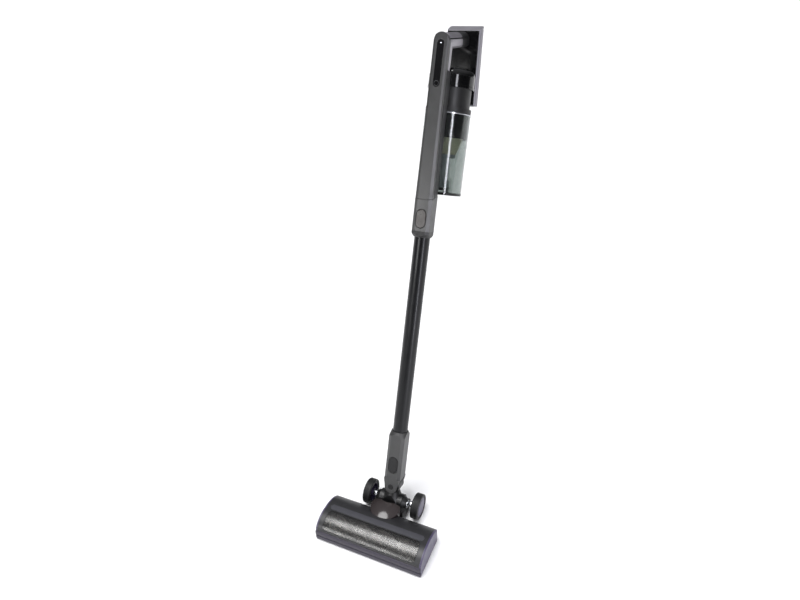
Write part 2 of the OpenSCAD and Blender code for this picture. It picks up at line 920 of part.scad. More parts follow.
module cyclone_body() {
    color("#26272a") at_unit() difference() {
        union() {
            translate([0, 0, bin_w1 + gap + 0.5]) cylinder(r = unit_r, h = 9.5 - gap);
            translate([0, 0, cyc_w0 - eps]) cylinder(r = cyc_r, h = cyc_w1 - cyc_w0 + eps);
            translate([0, 0, bin_w1 - 50]) cylinder(r = bin_r - wall - 1.2, h = 52);
            translate([-13, -unit_y + col_b + fit, cyc_w0 + 2])
                cube([26, 30, cyc_w1 - cyc_w0 - 2]);
        }
        translate([0, 0, cyc_w0 + 8]) cylinder(r = cyc_r - wall, h = 60);
        translate([0, 0, bin_w1 - 51]) cylinder(r = bin_r - 2 * wall - 1, h = 58);
        translate([0, 0, cyc_w0]) cylinder(r = 18, h = 20);
        translate([-9, -unit_y, cyc_w0 + 6]) cube([18, 40, 26]);
        bin_button_place() translate([0, 0, -2]) linear_extrude(40)
            pill_2d(10 + 2 * gap, 18 + 2 * gap);
    }
}

// cream fleece cone hung under the cyclone
module fine_filter() {
    top = bin_w1 - 50;
    color("#cfcab4") at_unit() difference() {
        union() {
            translate([0, 0, top - 32]) cylinder(r1 = 26, r2 = 38, h = 32);
            translate([0, 0, top - eps]) cylinder(r = 38, h = 5);
        }
        translate([0, 0, top - 30]) cylinder(r1 = 22, r2 = 34, h = 40);
    }
}

module cyclone_tube() {
    base = bin_w0 + 6;
    top = bin_w1 - 82.2;
    color("#7f8184") at_unit() difference() {
        union() {
            translate([0, 0, base]) cylinder(r = 16, h = top - base);
            for (z = [base + 6:7:top - 12])
                translate([0, 0, z]) cylinder(r = 18, h = 2.4);
            translate([0, 0, top - 7]) cylinder(r = 26, h = 7);
            rotate([0, 0, -35]) translate([24, 0, top - 5]) y_rod(3, -2, 9);
        }
        translate([0, 0, base - 1]) cylinder(r = 14, h = 400);
    }
}

module dust_bin() {
    seg_y = hinge_y + 2.4 - unit_y;
    color("#5b5f66", 0.4) at_unit() {
        difference() {
            union() {
                translate([0, 0, bin_w0]) cylinder(r = bin_r, h = bin_len);
                intersection() {
                    translate([0, 0, bin_w0 - lid_t]) cylinder(r = bin_r, h = lid_t + 3);
                    translate([-60, -bin_r - 1, 0]) cube([120, seg_y + bin_r + 1, 2000]);
                }
            }
            intersection() {
                translate([0, 0, bin_w0]) cylinder(r = bin_r - wall, h = bin_len + 1);
                translate([-60, -100, bin_w0]) cube([120, 200, 400]);
            }
            translate([-8.3, hinge_y - unit_y - 2.8, bin_w0 - lid_t - 1])
                cube([16.6, 10, lid_t + 2]);
            translate([0, hinge_y - unit_y, hinge_w]) {
                x_rod(1.2 + fit, -13, 13);
                difference() {
                    translate([-60, 0, -10]) cube([120, 10, 10]);
                    x_rod(2.6, -61, 61);
                }
            }
        }
        translate([-9, bin_r - 1.5, bin_w0 + 6]) cube([3, 5, 24]);
        translate([6, bin_r - 1.5, bin_w0 + 6]) cube([3, 5, 24]);
    }
}

module bin_lid() {
    edge = hinge_y + 2.8 - unit_y;
    color("#1b1c1e") at_unit() {
        intersection() {
            translate([0, 0, bin_w0 - lid_t]) cylinder(r = bin_r, h = lid_t - 0.2);
            translate([-60, edge, 0]) cube([120, 200, 2000]);
        }
        translate([0, hinge_y - unit_y, hinge_w]) {
            x_rod(2.3, -8, 8);
            x_rod(1.2, -12.8, 12.8);
            translate([-8, 0, -2.3]) cube([16, 4, 4.6]);
        }
    }
}

module lid_latch() {
    color("#2a2b2e") at_unit() translate([0, bin_r + gap + 0.2, bin_w0 - 3]) {
        translate([-5.7, 0, 0]) cube([11.4, 3, 28]);
        for (z = [12:3:24]) translate([-4.5, 2.5, z]) cube([9, 1.3, 1.2]);
    }
}

// place of the bin button on the unit's left side, z pointing out
module bin_button_place() {
    translate([-cyc_r + 4, 0, cyc_w0 + 20]) rotate([0, -90, 0]) rotate([0, 0, 90]) children();
}

module bin_button() {
    color("#6c6a72") at_unit() bin_button_place() {
        linear_extrude(5) pill_2d(10, 18);
    }
}

// ---- battery ---------------------------------------------------------------------

module back_plate() {
    color("#0e0f10") in_pack() {
        translate([-pack_w / 2 + 3, -pack_t - plate_t - gap + fit, -pack_len + 3])
            cube([pack_w - 6, plate_t - fit, pack_len - 14]);
    }
}

// pack outline from the top, front side open to the plate
module pack_2d(t) {
    translate([0, -pack_t / 2]) round_rect_2d(pack_w - 2 * t, pack_t - 2 * t, 5 - t);
}

module battery_case() {
    jack_x = pack_w / 2 - 16;
    color("#96979b") in_pack() difference() {
        union() {
            difference() {
                translate([0, 0, -pack_len]) linear_extrude(pack_len) pack_2d(0);
                translate([0, 0, -pack_len + 1.8]) linear_extrude(pack_len - 14) pack_2d(1.6);
                rotate([24, 0, 0]) translate([-60, -80, 0]) cube([120, 80, 60]);
            }
            translate([jack_x, -pack_t / 2, -pack_len + 0.5]) cylinder(r = 5, h = 11.3);
        }
        translate([jack_x, -pack_t / 2, -pack_len - 1]) cylinder(r = 2.75, h = 11);
    }
}

module battery_cells() {
    pitch = 18.6;
    color("#3d6a8f") in_pack() for (i = [0:6])
        translate([0, -pack_t / 2, -pack_len + 21.5 + i * pitch]) x_rod(9.15, -32.5, 32.5);
}

head_shell();
sole_plate();
brush_window();
end_plate_left();
end_plate_right();
front_bumper();
brush_core();
brush_bristles();
brush_bearings();
brush_pulley();
drive_belt();
brush_motor();
motor_pulley();
roller_left();
roller_right();
neck_yoke();
neck_cover();
pivot_pins();
wheel_axles();
tyre_left();
tyre_right();
hub_left();
hub_right();
neck_drum();
neck_hose();
swivel_pins();
lower_connector();
lower_button();
lower_spring();
wand_tube();
wire_duct();
upper_collar();
upper_connector();
upper_button();
upper_spring();
body_front();
body_rear();
body_seam();
inlet_pipe();
air_duct();
display_lens();
power_button();
grip_core();
grip_upper();
grip_lower();
fan_housing();
fan_cover();
fan_motor();
impeller();
exhaust_filter();
cyclone_body();
fine_filter();
cyclone_tube();
dust_bin();
bin_lid();
lid_latch();
bin_button();
back_plate();
battery_case();
battery_cells();
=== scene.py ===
import json
import math
import random

import bmesh
import bpy
from mathutils import Matrix, Vector

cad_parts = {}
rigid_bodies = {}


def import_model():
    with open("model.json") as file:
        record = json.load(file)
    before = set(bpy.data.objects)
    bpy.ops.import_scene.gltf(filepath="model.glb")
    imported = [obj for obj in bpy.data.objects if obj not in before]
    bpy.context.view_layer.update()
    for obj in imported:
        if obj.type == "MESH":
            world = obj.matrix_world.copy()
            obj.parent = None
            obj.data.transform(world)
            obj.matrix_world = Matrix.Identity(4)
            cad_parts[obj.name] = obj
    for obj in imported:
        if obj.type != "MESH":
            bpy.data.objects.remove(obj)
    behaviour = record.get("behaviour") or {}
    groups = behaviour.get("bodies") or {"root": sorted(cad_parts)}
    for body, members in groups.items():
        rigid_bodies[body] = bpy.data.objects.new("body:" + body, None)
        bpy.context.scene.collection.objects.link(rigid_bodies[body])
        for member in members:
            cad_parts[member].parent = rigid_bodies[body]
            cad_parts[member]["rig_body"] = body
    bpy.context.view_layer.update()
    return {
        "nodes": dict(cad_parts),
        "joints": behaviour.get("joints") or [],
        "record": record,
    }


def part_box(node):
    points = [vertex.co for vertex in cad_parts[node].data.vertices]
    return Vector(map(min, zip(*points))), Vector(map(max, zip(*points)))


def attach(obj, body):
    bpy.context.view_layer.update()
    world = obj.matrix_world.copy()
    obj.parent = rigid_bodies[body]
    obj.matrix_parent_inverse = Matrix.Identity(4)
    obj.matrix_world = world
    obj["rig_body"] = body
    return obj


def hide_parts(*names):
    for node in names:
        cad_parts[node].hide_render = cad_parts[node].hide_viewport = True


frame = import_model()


# ---- Room ------------------------------------------------------------------
# A white paper sweep under a dim room that is brighter overhead, as under studio
# softboxes. The camera itself sees plain white past the paper.
def add(tree, kind, settings=(), **sockets):
    """Adds one node. settings are its own options; sockets take a value or an output."""
    node = tree.nodes.new(kind)
    for option, value in dict(settings).items():
        setattr(node, option, value)
    for name, value in sockets.items():
        key = int(name[1:]) if name[1:].isdigit() else name.replace("_", " ")
        if isinstance(value, bpy.types.NodeSocket):
            tree.links.new(value, node.inputs[key])
        else:
            node.inputs[key].default_value = value
    return node


def linear(code, alpha=1.0):
    """An sRGB hex colour as the linear values that a shader takes."""
    parts = [int(code[i:i + 2], 16) / 255 for i in (1, 3, 5)]
    return (*[p / 12.92 if p <= 0.04045 else ((p + 0.055) / 1.055) ** 2.4 for p in parts], alpha)


scene = bpy.context.scene
scene.view_settings.view_transform = "Standard"
room = bpy.data.worlds.new("studio_room")
scene.world = room
room.use_nodes = True
tree = room.node_tree
tree.nodes.clear()
height = add(tree, "ShaderNodeSeparateXYZ",
             Vector=add(tree, "ShaderNodeTexCoord").outputs["Generated"])
ceiling = add(tree, "ShaderNodeMapRange", {"interpolation_type": "SMOOTHSTEP"},
              Value=height.outputs["Z"], From_Min=0.15, From_Max=1.0,
              To_Min=0.05, To_Max=0.62)
room_light = add(tree, "ShaderNodeBackground", Color=linear("#f4f5fa"),
                 Strength=ceiling.outputs["Result"])
backdrop = add(tree, "ShaderNodeBackground", Color=(1, 1, 1, 1), Strength=1.0)
seen = add(tree, "ShaderNodeLightPath")
mixed = add(tree, "ShaderNodeMixShader", _0=seen.outputs["Is Camera Ray"],
            _1=room_light.outputs[0], _2=backdrop.outputs[0])
add(tree, "ShaderNodeOutputWorld", Surface=mixed.outputs[0])

floor_half = 30.0
floor_drop = 0.0002
mesh = bpy.data.meshes.new("floor")
mesh.from_pydata([(x * floor_half, y * floor_half, -floor_drop)
                  for x, y in ((-1, -1), (1, -1), (1, 1), (-1, 1))], [], [(0, 1, 2, 3)])
floor = bpy.data.objects.new("floor", mesh)
scene.collection.objects.link(floor)
paper = bpy.data.materials.new("white_paper_sweep")
paper.use_nodes = True
paper_shader = paper.node_tree.nodes["Principled BSDF"]
paper_shader.inputs["Base Color"].default_value = linear("#ffffff")
paper_shader.inputs["Roughness"].default_value = 0.9
paper_shader.inputs["Specular IOR Level"].default_value = 0.1
floor.data.materials.append(paper)


def lamp(name, kind, place, target, energy, size=(1, 1), angle=0.0, colour="#ffffff"):
    """A light at one place that faces another, and that the camera doesn't see."""
    light = bpy.data.lights.new(name, kind)
    light.energy = energy
    light.color = linear(colour)[:3]
    if kind == "AREA":
        light.shape = "RECTANGLE"
        light.size, light.size_y = size
    else:
        light.angle = angle
    held = bpy.data.objects.new(name, light)
    scene.collection.objects.link(held)
    held.location = place
    held.rotation_mode = "QUATERNION"
    held.rotation_quaternion = (Vector(target) - Vector(place)).to_track_quat("-Z", "Y")
    held.visible_camera = False


lamp("overhead", "SUN", (-0.4, -0.6, 3), (0, 0, 0), 2.5, angle=math.radians(34))
lamp("softbox_head", "AREA", (-0.17, -0.54, 0.49), (0, -0.27, 0.04), 0.15, (0.62, 0.05))
lamp("softbox_low", "AREA", (-0.95, -2.30, 1.18), (0, 0.05, 0.66), 13, (0.9, 0.5))
lamp("strip_right", "AREA", (1.75, -1.32, 1.05), (0, 0.0, 0.6), 22, (0.35, 1.7), colour="#f6f6ff")


# ---- Camera ----------------------------------------------------------------
# It looks down on the stick from its front right, a little over a metre away, and is
# turned slightly about its own axis. The place is in metres in the model's own frame.
camera = bpy.data.objects.new("camera", bpy.data.cameras.new("camera"))
scene.collection.objects.link(camera)
scene.camera = camera
yaw, pitch, roll = (math.radians(a) for a in (25.101, 30.70, -2.356))
ahead = Vector((-math.sin(yaw) * math.cos(pitch), math.cos(yaw) * math.cos(pitch), -math.sin(pitch)))
right = Vector((math.cos(yaw), math.sin(yaw), 0))
above = right.cross(ahead)
across = right * math.cos(roll) + above * math.sin(roll)
upward = above * math.cos(roll) - right * math.sin(roll)
camera.matrix_world = Matrix.Translation((0.42035, -0.98214, 1.10955)) @ Matrix(
    (across, upward, -ahead)).transposed().to_4x4()
camera.data.sensor_width = 36
camera.data.lens = 26.1
camera.data.clip_start = 0.02


# ---- Floor head top --------------------------------------------------------
# One charcoal ABS moulding with a round nose and a flatter back, screwed to the sole
# plate from below. A long opening with round corners over the brush takes the window,
# and an inlay, coloured paler as painted light on its upward face, stands a little proud behind it.
MM = 0.001


def per(size_mm):
    """Texture scale that gives features of this size, in millimetres."""
    return 1 / (size_mm * MM)


def finish(name, colour, rough, ior=1.5, metallic=0.0, grain_mm=0.7, grain=0.05, drift=0.12,
           rub=0.25, coat=0.0, **others):
    """An opaque finish: a fine grain, a slow drift of shade, and corners rubbed paler.

    grain_mm is the grain's width and grain its depth, in millimetres; it is drawn coarser
    than the real one, so that it shows. drift is how far the shade wanders, and rub how
    pale the corners go.
    """
    made = bpy.data.materials.new(name)
    made.use_nodes = True
    tree = made.node_tree
    shader = tree.nodes["Principled BSDF"]
    where = add(tree, "ShaderNodeTexCoord").outputs["Object"]
    cloud = add(tree, "ShaderNodeTexNoise", Vector=where, Scale=per(18), Detail=3.0)
    speck = add(tree, "ShaderNodeTexNoise", Vector=where, Scale=per(grain_mm), Detail=2.0)
    base = linear(colour)
    shade = add(tree, "ShaderNodeMix", {"data_type": "RGBA"}, _0=cloud.outputs["Fac"],
                _6=(*[c * (1 - drift) for c in base[:3]], 1),
                _7=(*[min(c * (1 + drift), 1) for c in base[:3]], 1))
    corner = add(tree, "ShaderNodeBevel", {"samples": 4}, Radius=0.5 * MM)
    facing = add(tree, "ShaderNodeVectorMath", {"operation": "DOT_PRODUCT"},
                 _0=corner.outputs[0], _1=add(tree, "ShaderNodeNewGeometry").outputs["Normal"])
    worn = add(tree, "ShaderNodeMapRange", Value=facing.outputs["Value"], From_Min=0.995,
               From_Max=0.90, To_Min=0.0, To_Max=rub)
    patchy = add(tree, "ShaderNodeMath", {"operation": "MULTIPLY"}, _0=worn.outputs["Result"],
                 _1=cloud.outputs["Fac"])
    rubbed = add(tree, "ShaderNodeMix", {"data_type": "RGBA"}, _0=patchy.outputs[0],
                 _6=shade.outputs[2], _7=(*[min(c * 3 + 0.08, 1) for c in base[:3]], 1))
    tree.links.new(rubbed.outputs[2], shader.inputs["Base Color"])
    sheen = add(tree, "ShaderNodeMapRange", Value=cloud.outputs["Fac"], From_Min=0.3,
                From_Max=0.7, To_Min=rough * 0.88, To_Max=min(rough * 1.12, 1))
    tree.links.new(sheen.outputs["Result"], shader.inputs["Roughness"])
    bump = add(tree, "ShaderNodeBump", Strength=0.6, Distance=grain * MM,
               Height=speck.outputs["Fac"], Normal=corner.outputs[0])
    tree.links.new(bump.outputs[0], shader.inputs["Normal"])
    shader.inputs["Metallic"].default_value = metallic
    if metallic < 1:
        shader.inputs["IOR"].default_value = ior
    shader.inputs["Coat Weight"].default_value = coat
    shader.inputs["Coat Roughness"].default_value = 0.12
    for socket, value in others.items():
        shader.inputs[socket.replace("_", " ")].default_value = value
    return made


shown = frame["nodes"]


def dressed(coat, *nodes):
    """Puts a material on CAD nodes, whose shapes stay as they are."""
    for node in nodes:
        shown[node].data.materials.clear()
        shown[node].data.materials.append(coat)


def piece(name, mesh, body, coat, slot, *stands_for):
    """Shows a mesh that rides on a body, in place of the CAD nodes that it stands for."""
    made = bpy.data.objects.new(name, mesh)
    scene.collection.objects.link(made)
    mesh.materials.clear()
    mesh.materials.append(coat)
    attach(made, body)
    if stands_for:
        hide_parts(*stands_for)
    return made


def rolled(made, width_mm, steps=3):
    """Rounds every sharp edge of a piece and keeps its flat faces flat in the light."""
    for face in made.data.polygons:
        face.use_smooth = True
    edge = made.modifiers.new("rolled_edges", "BEVEL")
    edge.width = width_mm * MM
    edge.segments = steps
    edge.limit_method = "ANGLE"
    edge.angle_limit = math.radians(30)
    edge.use_clamp_overlap = True
    light = made.modifiers.new("flat_faces", "WEIGHTED_NORMAL")
    light.keep_sharp = False


shell_low, shell_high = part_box("head_shell")
front_y = 1.5
head_y = shell_low.y - front_y * MM
half_x = shell_high.x / MM
back_y = (shell_high.y - head_y) / MM
foot_z = shell_low.z / MM
# Centres and radii of the nose's arc and the deck's arc, in y and z, and where they meet.
nose, nose_r, crown_y = (40.5, 4.5), 49.0, 44.5
deck, deck_r = (52.0, -16.7), 70.0
shell_t = 2.2


def arc(centre, radius, start_y, end_y, steps):
    """Points along the top of a circle in y and z, between two values of y."""
    start, end = (math.acos((y - centre[0]) / radius) for y in (start_y, end_y))
    turns = [start + (end - start) * i / steps for i in range(steps + 1)]
    return [(centre[0] + radius * math.cos(a), centre[1] + radius * math.sin(a)) for a in turns]


def outline(inset):
    """Side outline of the head from its front foot over the top to its rear foot."""
    front, rear = front_y + inset, back_y - inset
    over_nose = arc(nose, nose_r - inset, front, crown_y, 22)
    over_deck = arc(deck, deck_r - inset, crown_y + 4, rear, 18)
    return [(front, foot_z), *over_nose, *over_deck, (rear, foot_z)]


def solid_of(rings, closed_ends=True):
    """Mesh through a list of rings of points in metres, one ring after another."""
    work = bmesh.new()
    rows = [[work.verts.new(point) for point in ring] for ring in rings]
    for first, second in zip(rows, rows[1:]):
        for i in range(len(first)):
            j = (i + 1) % len(first)
            work.faces.new((first[i], first[j], second[j], second[i]))
    if closed_ends:
        work.faces.new(rows[0][::-1])
        work.faces.new(rows[-1])
    bmesh.ops.recalc_face_normals(work, faces=work.faces)
    mesh = bpy.data.meshes.new("solid")
    work.to_mesh(mesh)
    work.free()
    return mesh


def across_head(points, x0, x1):
    """A side outline in y and z, in millimetres of the head, drawn out from x0 to x1."""
    return solid_of([[(x * MM, head_y + y * MM, z * MM) for y, z in points] for x in (x0, x1)])


def skin(outer, inner, x):
    """The head's skin between two depths below its outside, out to x on both sides."""
    return across_head(outline(outer) + outline(inner)[::-1], -x, x)


# The window opening: its middle in y and z, the directions along its slope and out of
# it, half its width and height, and the radius of its corners.
opening_y, opening_z = 24.0, 42.6
slope_y, slope_z = 0.887, 0.462
opening_half_x, opening_half_v, opening_corner = half_x - 11, 23.0, 9.0
plug_bottom, plug_top = -9.0, 14.0
corner_steps = 6


def window_plug(grow):
    """A block with round corners through the window opening, grown all round."""
    wide, tall, corner = opening_half_x + grow, opening_half_v + grow, opening_corner + grow
    rim = []
    for sx, sy, turn in ((1, 1, 0), (-1, 1, 90), (-1, -1, 180), (1, -1, 270)):
        for step in range(corner_steps + 1):
            a = math.radians(turn + 90 / corner_steps * step)
            rim.append((sx * (wide - corner) + corner * math.cos(a),
                        sy * (tall - corner) + corner * math.sin(a)))
    return solid_of([[(x * MM, head_y + (opening_y + slope_y * v - slope_z * n) * MM,
                       (opening_z + slope_z * v + slope_y * n) * MM) for x, v in rim]
                     for n in (plug_bottom, plug_top)])


def cut(mesh, tool, operation="DIFFERENCE"):
    """The mesh after one exact boolean with a tool mesh."""
    base, knife = (bpy.data.objects.new(n, m) for n, m in (("base", mesh), ("knife", tool)))
    for each in (base, knife):
        scene.collection.objects.link(each)
    step = base.modifiers.new("cut", "BOOLEAN")
    step.object, step.operation, step.solver = knife, operation, "EXACT"
    graph = bpy.context.evaluated_depsgraph_get()
    graph.update()
    result = bpy.data.meshes.new_from_object(base.evaluated_get(graph))
    for each in (base, knife):
        bpy.data.objects.remove(each)
    return result


# ABS with a spark-eroded grain from its mould: an even, satin dark grey.
charcoal_abs = finish("moulded_abs_charcoal", "#252527", 0.40)
dressed(charcoal_abs, "head_shell")
top = cut(skin(0, shell_t, half_x), window_plug(0))
rolled(piece("head_top", top, "head", charcoal_abs, "charcoal", "head_shell"), 0.6)

# The inlay is the same ABS, a little smoother, coloured paler as painted light where the band faces
# up.
painted_lit_band_abs = finish("moulded_abs_painted_lit_band", "#3d3d42", 0.36)
inlay_x, inlay_front, inlay_rear, inlay_corner = half_x - 9, 46.5, 60.0, 5.0
inlay_proud, inlay_t = 0.35, 0.5
columns, strips = 60, 5
work = bmesh.new()
rows = []
for i in range(columns + 1):
    x = -inlay_x + 2 * inlay_x * i / columns
    inset = max(abs(x) - (inlay_x - inlay_corner), 0)
    pull = inlay_corner - math.sqrt(max(inlay_corner ** 2 - inset ** 2, 0))
    line = arc(deck, deck_r + inlay_proud, inlay_front + pull, inlay_rear - pull, strips)
    rows.append([work.verts.new((x * MM, head_y + y * MM, z * MM)) for y, z in line])
for first, second in zip(rows, rows[1:]):
    for i in range(strips):
        work.faces.new((first[i], first[i + 1], second[i + 1], second[i]))
mesh = bpy.data.meshes.new("inlay")
work.to_mesh(mesh)
work.free()
inlay = piece("head_panel", mesh, "head", painted_lit_band_abs, "charcoal")
thick = inlay.modifiers.new("thickness", "SOLIDIFY")
thick.thickness = inlay_t * MM
thick.offset = 0
rolled(inlay, 0.15, 2)


# ---- Window ----------------------------------------------------------------
# A pane of smoked polycarbonate, injection moulded and snapped into the opening from
# below, on a soft black gasket that stops dust from blowing out.
def clear(name, colour, rough, ior, mirror=0.5):
    """A see-through moulding, tinted through, with faint flow marks and rubbing."""
    made = bpy.data.materials.new(name)
    made.use_nodes = True
    tree = made.node_tree
    shader = tree.nodes["Principled BSDF"]
    where = add(tree, "ShaderNodeTexCoord").outputs["Object"]
    flow = add(tree, "ShaderNodeTexNoise", Vector=where, Scale=per(25), Detail=4.0)
    base = linear(colour)
    tint = add(tree, "ShaderNodeMix", {"data_type": "RGBA"}, _0=flow.outputs["Fac"],
               _6=(*[c * 0.92 for c in base[:3]], 1), _7=base)
    haze = add(tree, "ShaderNodeMapRange", Value=flow.outputs["Fac"], From_Min=0.35,
               From_Max=0.75, To_Min=rough, To_Max=rough * 1.5)
    ripple = add(tree, "ShaderNodeBump", Strength=0.15, Distance=0.05 * MM,
                 Height=flow.outputs["Fac"])
    tree.links.new(tint.outputs[2], shader.inputs["Base Color"])
    tree.links.new(haze.outputs["Result"], shader.inputs["Roughness"])
    tree.links.new(ripple.outputs[0], shader.inputs["Normal"])
    shader.inputs["IOR"].default_value = ior
    shader.inputs["Transmission Weight"].default_value = 1.0
    shader.inputs["Specular IOR Level"].default_value = mirror
    return made


# Smoked polycarbonate dims the brush behind it and shows one long, soft highlight.
smoked_window = clear("smoked_polycarbonate", "#aca8a1", 0.20, 1.58, mirror=0.14)
# Black thermoplastic rubber: dull, with no highlight of its own.
tyre_tpe = finish("moulded_tpe_black", "#0b0b0c", 0.60, grain=0.12, rub=0.3)
dressed(smoked_window, "brush_window")
pane = cut(skin(0.15, 2.0, half_x - 6), window_plug(-0.5), "INTERSECT")
rolled(piece("window_pane", pane, "head", smoked_window, "smoke", "brush_window"), 0.3)
lip = cut(cut(skin(0.8, 3.0, half_x - 5), window_plug(1.2), "INTERSECT"), window_plug(-2.2))
rolled(piece("window_gasket", lip, "head", tyre_tpe, "rubber"), 0.2)


# ---- End plates ------------------------------------------------------------
# An ABS plate closes each end of the head, clipped into the top shell, with its outer
# edge rolled all round. Its grey violet colour is a painted reflection of bluish light.
slot_of = {p["node"]: p["material_slot"] for p in frame["record"]["subparts"]}


def softened(coat, node, width_mm):
    """Shows a copy of a CAD node with its edges rounded, as they leave the mould."""
    dressed(coat, node)
    solid = shown[node]
    mesh = solid.data.copy()
    work = bmesh.new()
    work.from_mesh(mesh)
    bmesh.ops.remove_doubles(work, verts=work.verts, dist=0.002 * MM)
    bmesh.ops.dissolve_limit(work, angle_limit=math.radians(0.7), verts=work.verts,
                             edges=work.edges)
    work.to_mesh(mesh)
    work.free()
    made = piece(node + "_moulded", mesh, solid["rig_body"], coat, slot_of[node], node)
    rolled(made, width_mm)


# Satin ABS, grey violet and paler than the shell beside it: a painted reflection of bluish light.
painted_violet_reflection_abs = finish("moulded_abs_painted_violet_reflection", "#47415a", 0.38)
softened(painted_violet_reflection_abs, "end_plate_left", 1.2)
softened(painted_violet_reflection_abs, "end_plate_right", 1.2)


# ---- Bumper ----------------------------------------------------------------
# A soft aubergine rubber strip moulded along the foot of the nose, in two bands with a
# groove between them, so that furniture isn't marked.

# Soft thermoplastic rubber with a coarse grain: dull, and pale where it is scuffed.
bumper_tpe = finish("moulded_tpe_aubergine", "#2a2533", 0.45, grain=0.10, rub=0.5)
dressed(bumper_tpe, "front_bumper")
bumper_low, bumper_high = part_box("front_bumper")
tip, top_z = (bumper_low.y - head_y) / MM, bumper_high.z / MM
bands = [(front_y, 3.2), (tip + 1.0, 3.4), (tip, 5.5), (tip, 13.2), (tip + 0.8, 14.6),
         (tip + 2.4, 14.8), (tip + 2.4, 16.4), (tip + 0.8, 16.6), (tip, 18.0),
         (tip, top_z - 5), (tip + 0.9, top_z - 1.4), (front_y, top_z)]
strip = across_head(bands, bumper_low.x / MM, bumper_high.x / MM)
rolled(piece("bumper_strip", strip, "head", bumper_tpe, "bumper", "front_bumper"), 0.5)


# ---- Sole plate and brush chamber ------------------------------------------
# The sole plate and the walls round the brush roll are glass-filled nylon, moulded in
# black. Six pan-head screws with a cross recess hold the plate, and show from below.

# Glass-filled nylon: black, with a coarse grain and almost no gloss.
black_nylon = finish("moulded_nylon_black", "#0f0f10", 0.42, grain=0.08, rub=0.12)
dressed(black_nylon, "sole_plate")
wall_in, wall_out, wall_foot = 105, 109, 6
for name, x0, x1 in (("chamber_wall_left", -wall_out, -wall_in),
                     ("chamber_wall_right", wall_in, wall_out)):
    end_wall = across_head([(4, wall_foot), (58, wall_foot), (58, 46), (46, 50), (34, 49),
                            (18, 44), (4, 33)], x0, x1)
    rolled(piece(name, end_wall, "head", black_nylon, "black"), 0.4)
rear_wall = across_head([(56.5, wall_foot), (58, wall_foot), (58, 49.5), (56.5, 49.8)],
                        0.1 - wall_in, wall_in - 0.1)
rolled(piece("chamber_wall_rear", rear_wall, "head", black_nylon, "black"), 0.3)

# Zinc-plated steel: pale, with a soft shine.
zinc_steel = finish("zinc_plated_spring_steel", "#b4b6ba", 0.3, metallic=1.0)
sole_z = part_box("sole_plate")[0].z
screw_r, screw_down, screw_up, rim_steps = 2.9, -0.5, 0.4, 28
recess_long, recess_wide, recess_bottom, recess_top = 3.2, 0.8, -1.0, 0.1
for i, (x, y) in enumerate(((-112, 88), (-60, 90), (60, 90), (112, 88), (-112, 34), (112, 34))):
    rim = [(x + screw_r * math.cos(a), y + screw_r * math.sin(a))
           for a in [2 * math.pi * k / rim_steps for k in range(rim_steps)]]
    screw = solid_of([[(u * MM, head_y + v * MM, sole_z + z * MM) for u, v in rim]
                      for z in (screw_down, screw_up)])
    for wide, deep in ((recess_long, recess_wide), (recess_wide, recess_long)):
        corners = [(x - wide / 2, y - deep / 2), (x + wide / 2, y - deep / 2),
                   (x + wide / 2, y + deep / 2), (x - wide / 2, y + deep / 2)]
        recess = solid_of([[(u * MM, head_y + v * MM, sole_z + z * MM) for u, v in corners]
                           for z in (recess_bottom, recess_top)])
        screw = cut(screw, recess)
    rolled(piece(f"sole_screw_{i + 1}", screw, "head", zinc_steel, "steel"), 0.15, 2)


# ---- Brush roll ------------------------------------------------------------
# A nylon core on a steel spindle between two bearings. Grey nylon filament is stapled
# into it in tufts, in four helical rows, and trimmed to one length.

# Turned steel: bright and nearly smooth, with fine rings.
bright_steel = finish("turned_steel", "#c4c6ca", 0.22, metallic=1.0, grain_mm=0.35, grain=0.01)
# Drawn nylon filament: grey white, with tips that catch the light.
nylon_filament = finish("drawn_nylon_filament", "#d3d5da", 0.4, rub=0.0, Sheen_Weight=0.2)
dressed(black_nylon, "brush_core")
dressed(bright_steel, "brush_bearings")
dressed(nylon_filament, "brush_bristles")
random.seed(7)
joint = {j["name"]: j for j in frame["joints"]}
spin = Vector(joint["brush_spin"]["pos_m"])
core_r, tip_r, tuft_pitch, filament_r = 15.6, 23.9, 4.5, 0.22
tuft_rows, strands, twist = 4, 14, 150
splay, spread, uneven = 0.07, 1.9, 0.7
half = int(97 / tuft_pitch)
filament_corners = (0, 2.094, 4.189)
work = bmesh.new()
for row in range(tuft_rows):
    for i in range(-half, half + 1):
        turn = math.radians(360 / tuft_rows * row + twist * i / half)
        for strand in range(strands):
            lean, drift = random.uniform(-splay, splay), random.uniform(-spread, spread)
            a = turn + random.uniform(-splay, splay)
            root = Vector((i * tuft_pitch + drift * 0.6, -core_r * math.sin(a), core_r * math.cos(a)))
            b = a + lean
            reach = tip_r - random.uniform(0, uneven)
            tip_at = Vector((i * tuft_pitch + drift, -reach * math.sin(b), reach * math.cos(b)))
            ends = []
            for point in (root, tip_at):
                ends.append([work.verts.new(spin + (point + filament_r * Vector(
                    (math.cos(t), math.sin(t) * math.cos(a), math.sin(t) * math.sin(a)))) * MM)
                    for t in filament_corners])
            for k in range(3):
                n = (k + 1) % 3
                work.faces.new((ends[0][k], ends[0][n], ends[1][n], ends[1][k]))
            work.faces.new(ends[0][::-1])
            work.faces.new(ends[1])
bmesh.ops.recalc_face_normals(work, faces=work.faces)
mesh = bpy.data.meshes.new("tufts")
work.to_mesh(mesh)
work.free()
piece("brush_tufts", mesh, "brush", nylon_filament, "bristle", "brush_bristles")


# ---- Brush drive and front rollers -----------------------------------------
# A small motor in a steel can turns the roll through two moulded pulleys and a toothed
# rubber belt. Two nylon rollers on pins carry the head's front edge.
dressed(bright_steel, "brush_motor")
dressed(black_nylon, "brush_pulley", "motor_pulley", "roller_left", "roller_right")
dressed(tyre_tpe, "drive_belt")


# ---- Neck ------------------------------------------------------------------
# A black nylon yoke behind the head holds the pitch drum on two steel pins, and a
# second pair of pins lets the stick swivel. A domed cover and a ribbed rubber hose
# keep the air way closed as it tilts.

